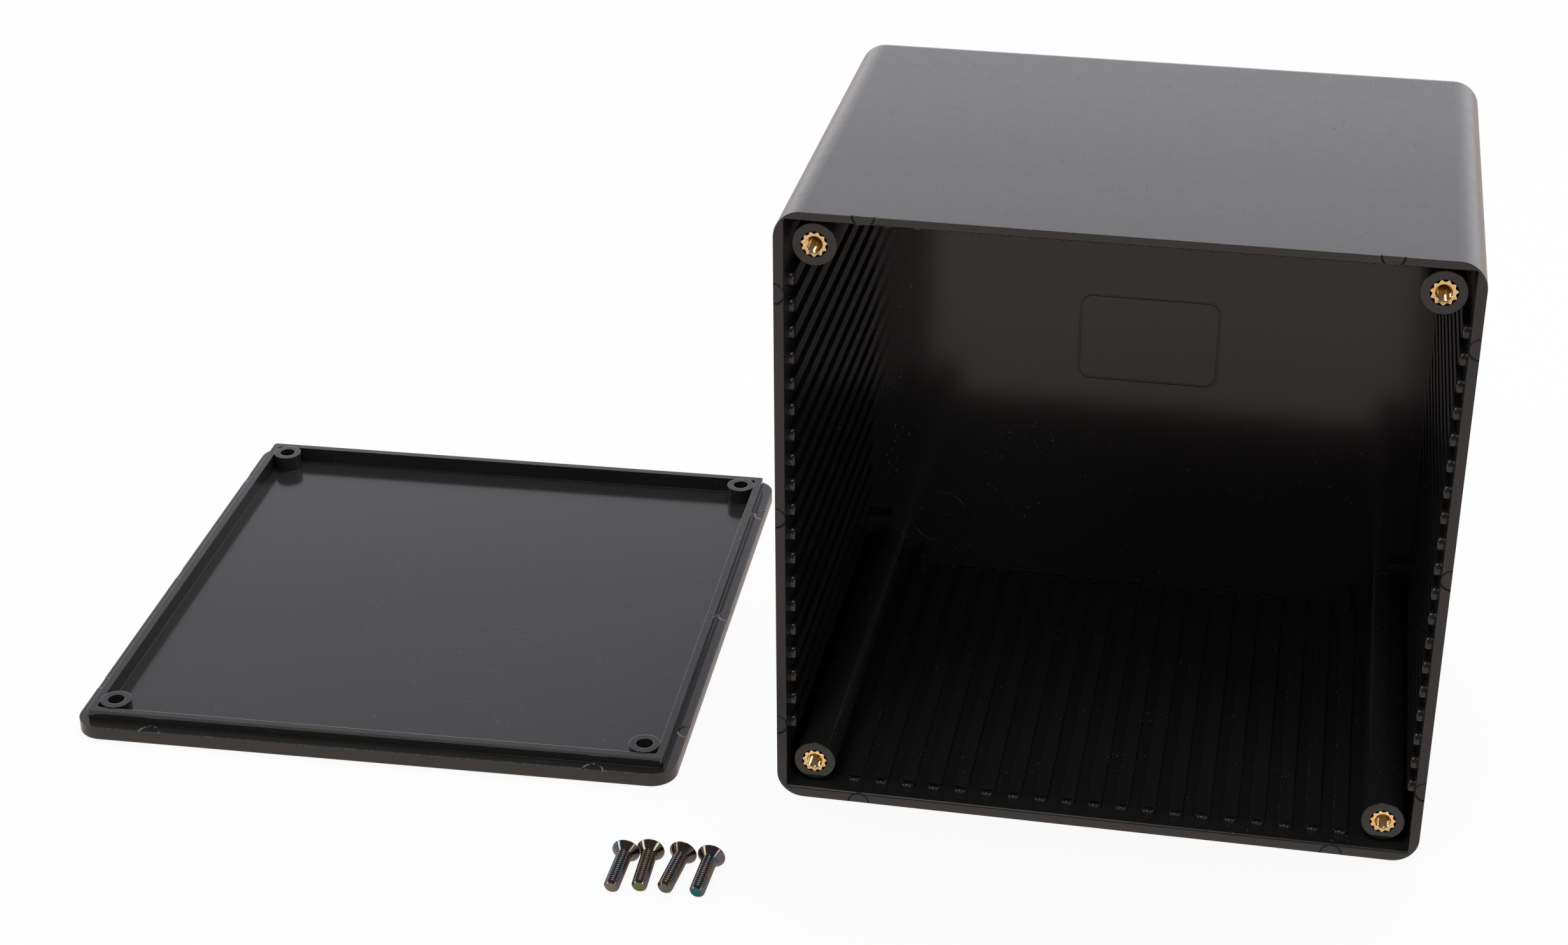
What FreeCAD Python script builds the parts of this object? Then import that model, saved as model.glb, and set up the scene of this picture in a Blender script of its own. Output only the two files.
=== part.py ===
import FreeCAD, Part
import math
import os
import Sketcher

# A square plastic project box, opened: the case lies on one side wall with its
# mouth towards -Y, the lid lies beside it with its inside up, and the lid
# screws lie in front.
#
# The frame: the origin is the middle of the side wall that the case rests on,
# +X is to the right as one looks into the case, +Y runs into the case and +Z
# is up. Every loose piece rests on the plane Z = 0. All lengths are in
# millimetres and all angles in degrees.

doc = FreeCAD.newDocument("project_box")

# Driving dimensions
sheet = doc.addObject("Spreadsheet::Sheet", "sizes")
DRIVING = [
    # outside of the closed box
    ("box_side", 120.0),
    ("case_depth", 90.0),
    ("corner_radius", 5.0),
    ("floor_edge_radius", 3.0),
    # case walls
    ("wall", 1.9),
    ("case_floor", 2.0),
    ("cavity_corner_radius", 0.3),
    ("core_rise", 0.3),
    ("rim_inner_radius", 0.5),
    ("rim_outer_radius", 0.15),
    # screw columns in the corners
    ("column_inset", 6.8),
    ("column_diameter", 8.0),
    ("column_recess", 2.4),
    ("column_edge_radius", 0.2),
    # card guide ribs on all four walls
    ("rib_pitch", 5.08),
    ("rib_count", 19),
    ("rib_width", 2.6),
    ("rib_height", 1.25),
    ("rib_setback", 3.6),
    ("rib_end_bow", 0.8),
    # card stops at the closed end of the outermost ribs
    ("stop_width", 1.27),
    ("stop_height", 5.7),
    ("stop_length", 4.5),
    # marks that the mould leaves
    ("rim_mark_radius", 1.9),
    ("rim_mark_depth", 0.12),
    ("rim_mark_inset", 15.7),
    ("floor_mark_diameter", 12.5),
    ("floor_mark_x", 42.2),
    ("floor_mark_y", 45.3),
    ("panel_width", 28.6),
    ("panel_height", 19.0),
    ("panel_corner_radius", 2.6),
    ("mark_line_width", 0.35),
    ("mark_line_depth", 0.15),
    # threaded brass inserts
    ("insert_diameter", 4.8),
    ("insert_length", 6.0),
    ("insert_notches", 11),
    ("insert_notch_radius", 0.42),
    ("insert_bore", 2.5),
    ("insert_mouth_chamfer", 0.35),
    ("insert_shoulder", 0.35),
    ("relief_length", 2.0),
    # lid
    ("lid_thickness", 3.0),
    ("lid_floor", 1.8),
    ("lid_edge_radius", 0.5),
    ("lip_clearance", 0.5),
    ("lip_thickness", 1.5),
    ("lip_height", 2.2),
    ("lip_corner_radius", 0.6),
    ("collar_diameter", 6.0),
    ("collar_gap", 0.0),
    ("screw_clearance", 0.4),
    ("sink_clearance", 0.4),
    # countersunk lid screws
    ("thread_diameter", 2.9),
    ("screw_length", 10.0),
    ("head_diameter", 5.2),
    ("head_land", 0.25),
    ("tip_chamfer", 0.4),
    ("recess_span", 2.9),
    ("recess_width", 0.75),
    ("recess_depth", 1.3),
    # where the loose pieces lie
    ("lid_x", -142.2),
    ("lid_y", 10.2),
    ("lid_turn", 2.3),
    ("screw_1_x", -83.1),
    ("screw_1_y", -81.5),
    ("screw_1_turn", 87.8),
    ("screw_2_x", -78.2),
    ("screw_2_y", -80.4),
    ("screw_2_turn", 91.0),
    ("screw_3_x", -73.6),
    ("screw_3_y", -80.0),
    ("screw_3_turn", 82.5),
    ("screw_4_x", -67.6),
    ("screw_4_y", -80.1),
    ("screw_4_turn", 86.6),
]
for row, (alias, number) in enumerate(DRIVING, start=1):
    sheet.set(f"A{row}", alias)
    sheet.set(f"B{row}", str(number))
    sheet.setAlias(f"B{row}", alias)
doc.recompute()


def size(alias):
    """The number in the sheet under that name."""
    return float(getattr(sheet, alias))


# Lengths that follow from the sheet, as the expressions that bind them
CAVITY_SIDE = "(sizes.box_side - 2 * sizes.wall)"
COLUMN_AT = "(sizes.box_side / 2 - sizes.column_inset)"
COLUMN_FACE = "(sizes.case_depth - sizes.column_recess)"
LIP_OUTSIDE = "(sizes.box_side - 2 * sizes.wall - 2 * sizes.lip_clearance)"
LIP_INSIDE = f"({LIP_OUTSIDE} - 2 * sizes.lip_thickness)"
COLLAR_TOP = "(sizes.lid_thickness + sizes.column_recess - sizes.collar_gap)"
FIRST_RIB = "((sizes.rib_count - 1) / 2 * sizes.rib_pitch)"
RIB_BOW = "(sizes.rib_width * sizes.rib_width / 4 + sizes.rib_end_bow * sizes.rib_end_bow)"
RIB_BOW_RADIUS = f"{RIB_BOW} / (2 * sizes.rib_end_bow)"
HOLE_DIAMETER = "(sizes.thread_diameter + sizes.screw_clearance)"
SINK_DIAMETER = "(sizes.head_diameter + sizes.sink_clearance)"

EDGE_TOLERANCE = 1e-4
RECESS_TAPER = -12.0


# Helpers for the bodies
def new_body(name):
    body = doc.addObject("PartDesign::Body", name)
    body.Label = name
    return body


def origin_part(body, role):
    """One of the body's own origin planes or axes."""
    return next(item for item in body.Origin.OriginFeatures if item.Role == role)


def new_sketch(body, name, plane="XY_Plane", height=None):
    """A sketch on an origin plane, raised along the plane's normal."""
    sketch = body.newObject("Sketcher::SketchObject", name)
    sketch.AttachmentSupport = [(origin_part(body, plane), "")]
    sketch.MapMode = "FlatFace"
    if height:
        sketch.setExpression("AttachmentOffset.Base.z", height)
    return sketch


def bind(sketch, constraint, expression):
    """Adds a dimension and ties it to the sheet."""
    index = sketch.addConstraint(constraint)
    sketch.setExpression(f"Constraints[{index}]", expression)


def number_of(expression):
    """The value that an expression on the sheet has now."""
    value = sheet.evalExpression(expression.replace("sizes.", ""))
    return float(getattr(value, "Value", value))


def rounded_rectangle(sketch, width, height, radius):
    """A centred rectangle with round corners, bound to three expressions."""
    half_w = number_of(width) / 2
    half_h = number_of(height) / 2
    r = number_of(radius)
    point = FreeCAD.Vector
    first = sketch.GeometryCount
    corners = [(1, -1, 270), (1, 1, 0), (-1, 1, 90), (-1, -1, 180)]
    sides = [
        ((-half_w + r, -half_h), (half_w - r, -half_h)),
        ((half_w, -half_h + r), (half_w, half_h - r)),
        ((half_w - r, half_h), (-half_w + r, half_h)),
        ((-half_w, half_h - r), (-half_w, -half_h + r)),
    ]
    for (start, end), (sign_x, sign_y, angle) in zip(sides, corners):
        line = Part.LineSegment(point(*start, 0), point(*end, 0))
        sketch.addGeometry(line, False)
        centre = point(sign_x * (half_w - r), sign_y * (half_h - r), 0)
        circle = Part.Circle(centre, point(0, 0, 1), r)
        arc = Part.ArcOfCircle(circle, math.radians(angle), math.radians(angle + 90))
        sketch.addGeometry(arc, False)
    for step in range(4):
        line = first + 2 * step
        arc = line + 1
        following = first + (2 * step + 2) % 8
        direction = "Horizontal" if step % 2 == 0 else "Vertical"
        sketch.addConstraint(sketch_rule("Tangent", line, 2, arc, 1))
        sketch.addConstraint(sketch_rule("Tangent", arc, 2, following, 1))
        sketch.addConstraint(sketch_rule(direction, line))
    for arc in (first + 3, first + 5, first + 7):
        sketch.addConstraint(sketch_rule("Equal", first + 1, arc))
    sketch.addConstraint(sketch_rule("Symmetric", first + 1, 3, first + 5, 3, -1, 1))
    bind(sketch, sketch_rule("Radius", first + 1, r), radius)
    across = sketch_rule("DistanceX", first + 5, 3, first + 1, 3, 2 * (half_w - r))
    bind(sketch, across, f"{width} - 2 * {radius}")
    upward = sketch_rule("DistanceY", first + 1, 3, first + 3, 3, 2 * (half_h - r))
    bind(sketch, upward, f"{height} - 2 * {radius}")


def sketch_rule(*terms):
    return Sketcher.Constraint(*terms)


def closed_outline(sketch, corners):
    """Straight lines through the corners, each kept level or upright if it is so."""
    count = len(corners)
    first = sketch.GeometryCount
    for index, corner in enumerate(corners):
        following = corners[(index + 1) % count]
        sketch.addGeometry(Part.LineSegment(corner, following), False)
    for index, corner in enumerate(corners):
        following = (index + 1) % count
        joint = sketch_rule("Coincident", first + index, 2, first + following, 1)
        sketch.addConstraint(joint)
        if abs(corner.y - corners[following].y) < EDGE_TOLERANCE:
            sketch.addConstraint(sketch_rule("Horizontal", first + index))
        elif abs(corner.x - corners[following].x) < EDGE_TOLERANCE:
            sketch.addConstraint(sketch_rule("Vertical", first + index))


def circle_at(sketch, x, y, diameter):
    """A circle whose centre and diameter are bound to expressions."""
    spot = FreeCAD.Vector(number_of(x), number_of(y), 0)
    radius = number_of(diameter) / 2
    circle = Part.Circle(spot, FreeCAD.Vector(0, 0, 1), radius)
    index = sketch.addGeometry(circle, False)
    bind(sketch, sketch_rule("Diameter", index, 2 * radius), diameter)
    for rule, value, expression in (("DistanceX", spot.x, x), ("DistanceY", spot.y, y)):
        if expression == "0":
            axis = -2 if rule == "DistanceX" else -1
            sketch.addConstraint(sketch_rule("PointOnObject", index, 3, axis))
        elif value < 0:
            terms = sketch_rule(rule, index, 3, -1, 1, -value)
            bind(sketch, terms, f"-({expression})")
        else:
            bind(sketch, sketch_rule(rule, -1, 1, index, 3, value), expression)


def pad(body, name, sketch, length, reverse=False):
    feature = body.newObject("PartDesign::Pad", name)
    feature.Profile = sketch
    feature.setExpression("Length", length)
    feature.Reversed = reverse
    doc.recompute()
    return feature


def pocket(body, name, sketch, depth, reverse=False):
    """Cuts into the solid, and stops the script if it cuts nothing."""
    before = body.Shape.Volume
    feature = body.newObject("PartDesign::Pocket", name)
    feature.Profile = sketch
    feature.setExpression("Length", depth)
    feature.Reversed = reverse
    doc.recompute()
    if not feature.Shape.Volume < before:
        raise RuntimeError(f"{name} cuts nothing")
    return feature


def round_about(body, name, originals, count, angle=360.0):
    """Copies features round the body's Z axis."""
    pattern = body.newObject("PartDesign::PolarPattern", name)
    pattern.Originals = originals
    pattern.Axis = (origin_part(body, "Z_Axis"), [""])
    pattern.Angle = angle
    if isinstance(count, str):
        pattern.setExpression("Occurrences", count)
    else:
        pattern.Occurrences = count
    body.Tip = pattern
    doc.recompute()
    return pattern


def edge_names(base, chosen):
    """The names of the edges that the test picks."""
    numbered = enumerate(base.Shape.Edges, start=1)
    return [f"Edge{index}" for index, edge in numbered if chosen(edge)]


def round_edges(body, name, base, chosen, radius):
    """A fillet on the edges that the test picks."""
    feature = body.newObject("PartDesign::Fillet", name)
    feature.Base = (base, edge_names(base, chosen))
    feature.setExpression("Radius", radius)
    doc.recompute()
    return feature


def bevel_edges(body, name, base, chosen, width):
    """A chamfer on the edges that the test picks."""
    feature = body.newObject("PartDesign::Chamfer", name)
    feature.Base = (base, edge_names(base, chosen))
    feature.setExpression("Size", width)
    doc.recompute()
    return feature


def lies_at_height(edge, height):
    box = edge.BoundBox
    low_enough = abs(box.ZMax - height) < EDGE_TOLERANCE
    return low_enough and abs(box.ZMin - height) < EDGE_TOLERANCE


def widest_reach(edge):
    """How far the edge goes from the body's Z axis along X or Y."""
    box = edge.BoundBox
    return max(abs(box.XMin), abs(box.XMax), abs(box.YMin), abs(box.YMax))


def wall_pattern(body, name, original, steps):
    """Repeats a feature along one wall, then on all four walls."""
    around = body.newObject("PartDesign::PolarPattern", f"{name}_around")
    around.Axis = (origin_part(body, "Z_Axis"), [""])
    around.Angle = 360.0
    around.Occurrences = 4
    pattern = body.newObject("PartDesign::MultiTransform", name)
    pattern.Originals = [original]
    pattern.Transformations = [steps, around]
    body.Tip = pattern
    doc.recompute()
    return pattern


# The case: one moulding, drawn with its closed end down on Z = 0
case = new_body("case")
case_outline = new_sketch(case, "case_outline")
rounded_rectangle(case_outline, "sizes.box_side", "sizes.box_side", "sizes.corner_radius")
case_block = pad(case, "case_block", case_outline, "sizes.case_depth")
case_shell = round_edges(
    case,
    "case_floor_edges",
    case_block,
    lambda edge: lies_at_height(edge, 0.0),
    "sizes.floor_edge_radius",
)

cavity_outline = new_sketch(case, "cavity_outline", height="sizes.case_depth")
cavity_outline.setExpression("AttachmentOffset.Base.y", "sizes.core_rise")
rounded_rectangle(cavity_outline, CAVITY_SIDE, CAVITY_SIDE, "sizes.cavity_corner_radius")
cavity = pocket(case, "cavity", cavity_outline, "sizes.case_depth - sizes.case_floor")

# The rim: its inner edge is well rounded and its outer edge only just
RIM_MIDDLE = number_of("sizes.box_side / 2 - sizes.wall / 2")


def on_inner_rim(edge):
    return lies_at_height(edge, size("case_depth")) and widest_reach(edge) < RIM_MIDDLE


def on_outer_rim(edge):
    return lies_at_height(edge, size("case_depth")) and widest_reach(edge) > RIM_MIDDLE


rim = round_edges(case, "rim_inner_edge", cavity, on_inner_rim, "sizes.rim_inner_radius")
round_edges(case, "rim_outer_edge", rim, on_outer_rim, "sizes.rim_outer_radius")


# Card guide ribs: drawn on the wall at -Y, seen from inside the case
def rib_outline(sketch):
    """A strip up the wall whose end towards the mouth is bowed."""
    left = -number_of(FIRST_RIB) - size("rib_width") / 2
    right = left + size("rib_width")
    bottom = size("case_floor")
    top = size("case_depth") - size("rib_setback")
    shoulder = top - size("rib_end_bow")
    point = FreeCAD.Vector
    half = size("rib_width") / 2
    radius = number_of(RIB_BOW_RADIUS)
    centre = point(left + half, top - radius, 0)
    start = math.atan2(shoulder - centre.y, half)
    circle = Part.Circle(centre, point(0, 0, 1), radius)
    sketch.addGeometry(Part.LineSegment(point(left, bottom, 0), point(right, bottom, 0)), False)
    sketch.addGeometry(Part.LineSegment(point(right, bottom, 0), point(right, shoulder, 0)), False)
    sketch.addGeometry(Part.ArcOfCircle(circle, start, math.pi - start), False)
    sketch.addGeometry(Part.LineSegment(point(left, shoulder, 0), point(left, bottom, 0)), False)
    for first, second in ((0, 1), (3, 0)):
        sketch.addConstraint(sketch_rule("Coincident", first, 2, second, 1))
    sketch.addConstraint(sketch_rule("Coincident", 1, 2, 2, 1))
    sketch.addConstraint(sketch_rule("Coincident", 2, 2, 3, 1))
    sketch.addConstraint(sketch_rule("Horizontal", 0))
    sketch.addConstraint(sketch_rule("Vertical", 1))
    sketch.addConstraint(sketch_rule("Vertical", 3))
    sketch.addConstraint(sketch_rule("Equal", 1, 3))
    bind(sketch, sketch_rule("DistanceX", 0, 1, 0, 2, 2 * half), "sizes.rib_width")
    bind(sketch, sketch_rule("DistanceX", 0, 1, -1, 1, -left), f"{FIRST_RIB} + sizes.rib_width / 2")
    bind(sketch, sketch_rule("DistanceY", -1, 1, 0, 1, bottom), "sizes.case_floor")
    straight = "sizes.case_depth - sizes.rib_setback - sizes.rib_end_bow - sizes.case_floor"
    bind(sketch, sketch_rule("DistanceY", 1, 1, 1, 2, shoulder - bottom), straight)
    bind(sketch, sketch_rule("Radius", 2, radius), RIB_BOW_RADIUS)


# They start inside the wall, because the raised core leaves the upper wall's
# face farther out than the others
RIB_ROOT = f"{CAVITY_SIDE} / 2 + sizes.core_rise"
rib_sketch = new_sketch(case, "rib_outline", "XZ_Plane", RIB_ROOT)
rib_outline(rib_sketch)
rib = pad(case, "rib", rib_sketch, "sizes.rib_height + sizes.core_rise", reverse=True)
rib_row = case.newObject("PartDesign::LinearPattern", "rib_row")
rib_row.Direction = (rib_sketch, ["H_Axis"])
rib_row.setExpression("Length", f"2 * {FIRST_RIB}")
rib_row.setExpression("Occurrences", "sizes.rib_count")
wall_pattern(case, "ribs", rib, rib_row)


# Card stops: a short, taller plate on the inner half of each outermost rib
def stop_outline(sketch):
    right = -number_of(FIRST_RIB) + size("rib_width") / 2
    left = right - size("stop_width")
    bottom = size("case_floor")
    top = bottom + size("stop_length")
    point = FreeCAD.Vector
    low_side = [point(left, bottom, 0), point(right, bottom, 0)]
    closed_outline(sketch, low_side + [point(right, top, 0), point(left, top, 0)])
    bind(sketch, sketch_rule("DistanceX", 0, 1, 0, 2, right - left), "sizes.stop_width")
    bind(sketch, sketch_rule("DistanceX", 0, 2, -1, 1, -right), f"{FIRST_RIB} - sizes.rib_width / 2")
    bind(sketch, sketch_rule("DistanceY", -1, 1, 0, 1, bottom), "sizes.case_floor")
    bind(sketch, sketch_rule("DistanceY", 1, 1, 1, 2, top - bottom), "sizes.stop_length")


stop_sketch = new_sketch(case, "stop_outline", "XZ_Plane", RIB_ROOT)
stop_outline(stop_sketch)
stop = pad(case, "stop", stop_sketch, "sizes.stop_height + sizes.core_rise", reverse=True)
stop_pair = case.newObject("PartDesign::Mirrored", "stop_pair")
stop_pair.MirrorPlane = (origin_part(case, "YZ_Plane"), [""])
wall_pattern(case, "stops", stop, stop_pair)

# Screw columns: round posts in the corners with a hole for the insert
column_sketch = new_sketch(case, "column_outline", height="sizes.case_floor")
circle_at(column_sketch, f"-{COLUMN_AT}", f"-{COLUMN_AT}", "sizes.column_diameter")
column = pad(case, "column", column_sketch, f"{COLUMN_FACE} - sizes.case_floor")
columns = round_about(case, "columns", [column], 4)
round_edges(
    case,
    "column_edges",
    columns,
    lambda edge: lies_at_height(edge, number_of(COLUMN_FACE)),
    "sizes.column_edge_radius",
)

insert_hole_sketch = new_sketch(case, "insert_hole_outline", height=COLUMN_FACE)
circle_at(insert_hole_sketch, f"-{COLUMN_AT}", f"-{COLUMN_AT}", "sizes.insert_diameter")
insert_hole = pocket(case, "insert_hole", insert_hole_sketch, "sizes.insert_length")
round_about(case, "insert_holes", [insert_hole], 4)

relief_sketch = new_sketch(case, "relief_outline", height=COLUMN_FACE)
circle_at(relief_sketch, f"-{COLUMN_AT}", f"-{COLUMN_AT}", "sizes.insert_bore")
relief = pocket(case, "relief", relief_sketch, "sizes.insert_length + sizes.relief_length")
round_about(case, "reliefs", [relief], 4)


# Rim marks: shallow part-circles on the outer edge, where the mould's pins push
def rim_marks(body, prefix, height):
    edge = "(sizes.box_side / 2)"
    along = "(sizes.box_side / 2 - sizes.rim_mark_inset)"
    span = "2 * sizes.rim_mark_radius"
    sketch = new_sketch(body, f"{prefix}_mark_outline", height=height)
    for sign_x in ("", "-"):
        for sign_y in ("", "-"):
            circle_at(sketch, f"{sign_x}{along}", f"{sign_y}{edge}", span)
            circle_at(sketch, f"{sign_x}{edge}", f"{sign_y}{along}", span)
        circle_at(sketch, f"{sign_x}{edge}", "0", span)
    pocket(body, f"{prefix}_marks", sketch, "sizes.rim_mark_depth")


rim_marks(case, "rim", "sizes.case_depth")

# Witness lines on the closed end's inner face: a round one near one column and
# the frame of the bare label panel in the middle
round_mark_sketch = new_sketch(case, "round_mark_outline", height="sizes.case_floor")
for width in ("sizes.floor_mark_diameter", "sizes.floor_mark_diameter - 2 * sizes.mark_line_width"):
    circle_at(round_mark_sketch, "-sizes.floor_mark_x", "-sizes.floor_mark_y", width)
pocket(case, "round_mark", round_mark_sketch, "sizes.mark_line_depth")

panel_sketch = new_sketch(case, "panel_outline", height="sizes.case_floor")
rounded_rectangle(panel_sketch, "sizes.panel_width", "sizes.panel_height", "sizes.panel_corner_radius")
rounded_rectangle(
    panel_sketch,
    "(sizes.panel_width - 2 * sizes.mark_line_width)",
    "(sizes.panel_height - 2 * sizes.mark_line_width)",
    "(sizes.panel_corner_radius - sizes.mark_line_width)",
)
pocket(case, "panel_line", panel_sketch, "sizes.mark_line_depth")

# The case on its side: its mouth turns to -Y and its lower wall lies on Z = 0
case.Placement.Rotation = FreeCAD.Rotation(FreeCAD.Vector(1, 0, 0), 90)
case.setExpression("Placement.Base.y", "sizes.case_depth / 2")
case.setExpression("Placement.Base.z", "sizes.box_side / 2")


# The brass inserts: notched round the outside, bored for the screw
def on_bore_mouth(edge):
    circular = edge.Curve.TypeId == "Part::GeomCircle"
    if not circular or abs(edge.Curve.Radius - size("insert_bore") / 2) > EDGE_TOLERANCE:
        return False
    return lies_at_height(edge, size("insert_length"))


def make_insert(name, sign_x, sign_z):
    body = new_body(name)
    outline = new_sketch(body, f"{name}_outline")
    circle_at(outline, "0", "0", "sizes.insert_diameter")
    barrel = pad(body, f"{name}_barrel", outline, "sizes.insert_length")
    bevel_edges(
        body,
        f"{name}_shoulder",
        barrel,
        lambda edge: lies_at_height(edge, size("insert_length")),
        "sizes.insert_shoulder",
    )
    notch_sketch = new_sketch(body, f"{name}_notch_outline", height="sizes.insert_length")
    circle_at(notch_sketch, "sizes.insert_diameter / 2", "0", "2 * sizes.insert_notch_radius")
    notch = pocket(body, f"{name}_notch", notch_sketch, "sizes.insert_length")
    round_about(body, f"{name}_notches", [notch], "sizes.insert_notches")
    bore_sketch = new_sketch(body, f"{name}_bore_outline", height="sizes.insert_length")
    circle_at(bore_sketch, "0", "0", "sizes.insert_bore")
    bore = pocket(body, f"{name}_bore", bore_sketch, "sizes.insert_length")
    bevel_edges(body, f"{name}_mouth", bore, on_bore_mouth, "sizes.insert_mouth_chamfer")
    body.Placement.Rotation = FreeCAD.Rotation(FreeCAD.Vector(1, 0, 0), 90)
    body.setExpression("Placement.Base.x", f"{sign_x} * {COLUMN_AT}")
    face = f"sizes.case_depth / 2 - {COLUMN_FACE} + sizes.insert_length"
    body.setExpression("Placement.Base.y", face)
    body.setExpression("Placement.Base.z", f"sizes.box_side / 2 + {sign_z} * {COLUMN_AT}")
    doc.recompute()
    return body


CORNERS = [(-1, -1), (1, -1), (1, 1), (-1, 1)]
inserts = []
for number, (sign_x, sign_z) in enumerate(CORNERS, start=1):
    inserts.append(make_insert(f"thread_insert_{number}", sign_x, sign_z))

# The lid: one moulding, drawn and lying with its outer face down on Z = 0
lid = new_body("lid")
lid_outline = new_sketch(lid, "lid_outline")
rounded_rectangle(lid_outline, "sizes.box_side", "sizes.box_side", "sizes.corner_radius")
lid_plate = pad(lid, "lid_plate", lid_outline, "sizes.lid_thickness")
round_edges(
    lid,
    "lid_outer_edges",
    lid_plate,
    lambda edge: lies_at_height(edge, 0.0),
    "sizes.lid_edge_radius",
)

# The lip that drops into the mouth, with the plate thinned inside it
lip_outline = new_sketch(lid, "lip_outline", height="sizes.lid_thickness")
rounded_rectangle(lip_outline, LIP_OUTSIDE, LIP_OUTSIDE, "sizes.lip_corner_radius")
pad(lid, "lip_block", lip_outline, "sizes.lip_height")
tray_outline = new_sketch(lid, "tray_outline", height="sizes.lid_thickness + sizes.lip_height")
rounded_rectangle(tray_outline, LIP_INSIDE, LIP_INSIDE, "sizes.lip_corner_radius")
TRAY_DEPTH = "sizes.lid_thickness + sizes.lip_height - sizes.lid_floor"
pocket(lid, "tray", tray_outline, TRAY_DEPTH)

# Screw collars: they meet the faces of the columns when the lid is on
collar_sketch = new_sketch(lid, "collar_outline", height="sizes.lid_floor")
circle_at(collar_sketch, f"-{COLUMN_AT}", f"-{COLUMN_AT}", "sizes.collar_diameter")
collar = pad(lid, "collar", collar_sketch, f"{COLLAR_TOP} - sizes.lid_floor")
round_about(lid, "collars", [collar], 4)

screw_hole_sketch = new_sketch(lid, "screw_hole_outline", height=COLLAR_TOP)
circle_at(screw_hole_sketch, f"-{COLUMN_AT}", f"-{COLUMN_AT}", HOLE_DIAMETER)
screw_hole = pocket(lid, "screw_hole", screw_hole_sketch, COLLAR_TOP)
round_about(lid, "screw_holes", [screw_hole], 4)

# Countersinks in the outer face, at the screw head's right-angled cone
sink = lid.newObject("PartDesign::SubtractiveCone", "countersink")
sink.AttachmentSupport = [(origin_part(lid, "XY_Plane"), "")]
sink.MapMode = "FlatFace"
sink.setExpression("AttachmentOffset.Base.x", f"-{COLUMN_AT}")
sink.setExpression("AttachmentOffset.Base.y", f"-{COLUMN_AT}")
sink.setExpression("Radius1", f"{SINK_DIAMETER} / 2")
sink.setExpression("Radius2", f"{HOLE_DIAMETER} / 2")
sink.setExpression("Height", f"({SINK_DIAMETER} - {HOLE_DIAMETER}) / 2")
doc.recompute()
round_about(lid, "countersinks", [sink], 4)

rim_marks(lid, "ledge", "sizes.lid_thickness")

lid.setExpression("Placement.Base.x", "sizes.lid_x")
lid.setExpression("Placement.Base.y", "sizes.lid_y")
lid.Placement.Rotation = FreeCAD.Rotation(FreeCAD.Vector(0, 0, 1), size("lid_turn"))


# The lid screws: countersunk heads with a cross recess, tips cut with a chamfer
def screw_profile(sketch):
    """Half the screw's section, from the tip up its axis."""
    thread = size("thread_diameter") / 2
    head = size("head_diameter") / 2
    length = size("screw_length")
    chamfer = size("tip_chamfer")
    land = size("head_land")
    cone = head - thread
    outline = [
        (0, 0),
        (thread - chamfer, 0),
        (thread, chamfer),
        (thread, length - land - cone),
        (head, length - land),
        (head, length),
        (0, length),
    ]
    closed_outline(sketch, [FreeCAD.Vector(x, y, 0) for x, y in outline])
    sketch.addConstraint(sketch_rule("Coincident", 0, 1, -1, 1))
    tip_width = sketch_rule("DistanceX", -1, 1, 0, 2, thread - chamfer)
    bind(sketch, tip_width, "sizes.thread_diameter / 2 - sizes.tip_chamfer")
    bind(sketch, sketch_rule("DistanceX", -1, 1, 1, 2, thread), "sizes.thread_diameter / 2")
    bind(sketch, sketch_rule("DistanceY", -1, 1, 1, 2, chamfer), "sizes.tip_chamfer")
    bind(sketch, sketch_rule("DistanceX", -1, 1, 3, 2, head), "sizes.head_diameter / 2")
    bind(sketch, sketch_rule("DistanceY", 4, 1, 4, 2, land), "sizes.head_land")
    bind(sketch, sketch_rule("DistanceY", -1, 1, 5, 2, length), "sizes.screw_length")
    cone_height = "(sizes.head_diameter - sizes.thread_diameter) / 2"
    bind(sketch, sketch_rule("DistanceY", 3, 1, 3, 2, cone), cone_height)


def slot_outline(sketch):
    """One bar of the cross in the screw head, centred on the axis."""
    reach = size("recess_span") / 2
    half = size("recess_width") / 2
    outline = [(-reach, -half), (reach, -half), (reach, half), (-reach, half)]
    corners = [FreeCAD.Vector(x, y, 0) for x, y in outline]
    closed_outline(sketch, corners)
    sketch.addConstraint(sketch_rule("Symmetric", 0, 1, 2, 1, -1, 1))
    bind(sketch, sketch_rule("DistanceX", 0, 1, 0, 2, 2 * reach), "sizes.recess_span")
    bind(sketch, sketch_rule("DistanceY", 1, 1, 1, 2, 2 * half), "sizes.recess_width")


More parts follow.
